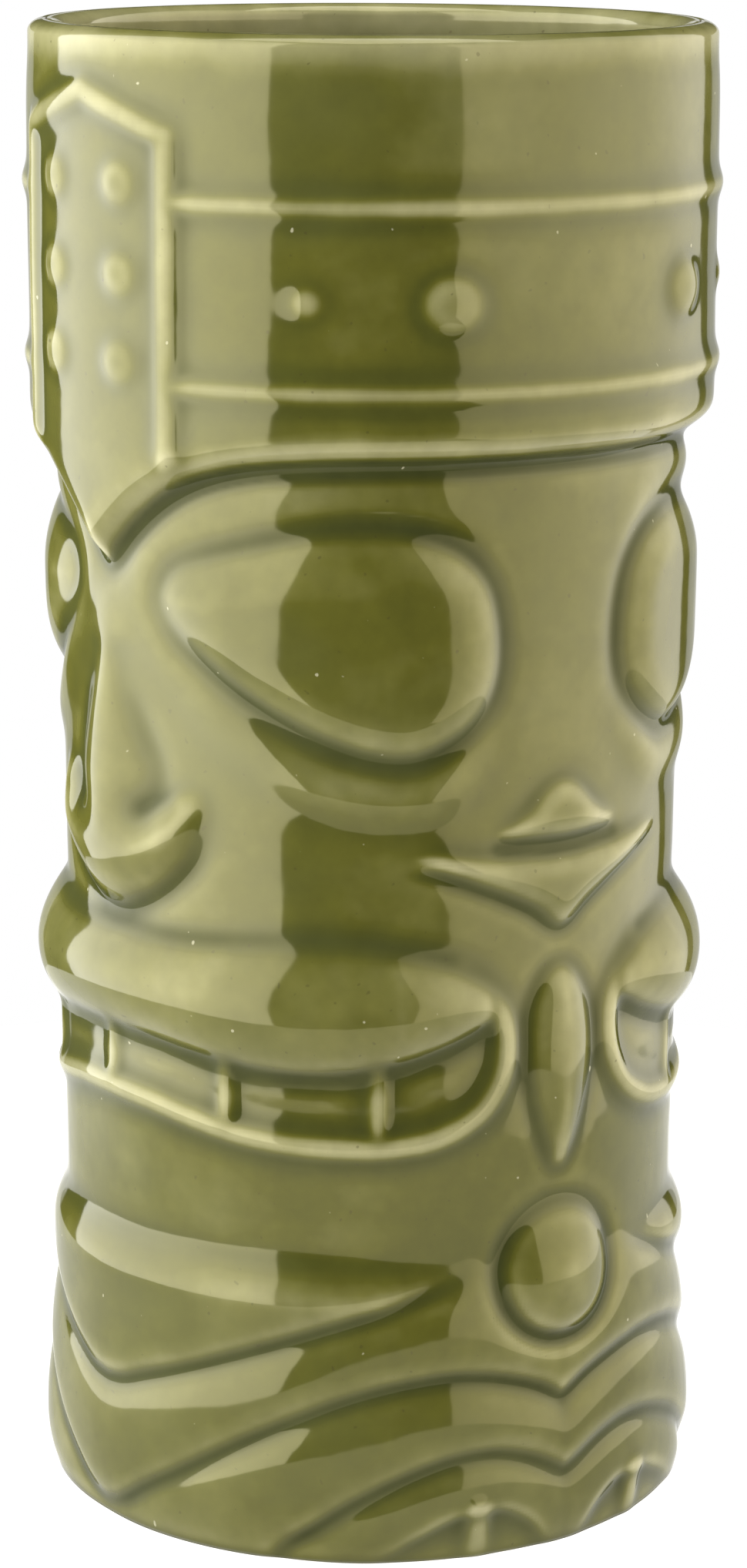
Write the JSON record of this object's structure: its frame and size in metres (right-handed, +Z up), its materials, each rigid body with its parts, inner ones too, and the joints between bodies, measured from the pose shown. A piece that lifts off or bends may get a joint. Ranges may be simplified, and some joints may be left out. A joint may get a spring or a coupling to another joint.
{
  "type": "tiki mug",
  "caption": "Tall handleless ceramic mug carved with a stylised face, a studded headband and chevron bands, green glazed inside and out.",
  "frame": {"origin": "centre of the footprint, on the plane that the foot ring stands on", "axes": "+Z up the mug, -Y out of the middle of the front face, +X towards the seam between the front and the back face"},
  "size_m": [0.079, 0.0788, 0.17],
  "materials": {
    "stoneware": "matte bisque, bare only on the foot ring",
    "outer_glaze": "glossy translucent olive green, paler on raised edges, grey and dark where it pools",
    "liner_glaze": "glossy translucent olive green",
    "base_glaze": "glossy translucent olive green, thin"
  },
  "bodies": {
    "root": {"stoneware_body": "stoneware", "outer_glaze": "outer_glaze", "liner_glaze": "liner_glaze", "base_glaze": "base_glaze"}
  },
  "joints": []
}
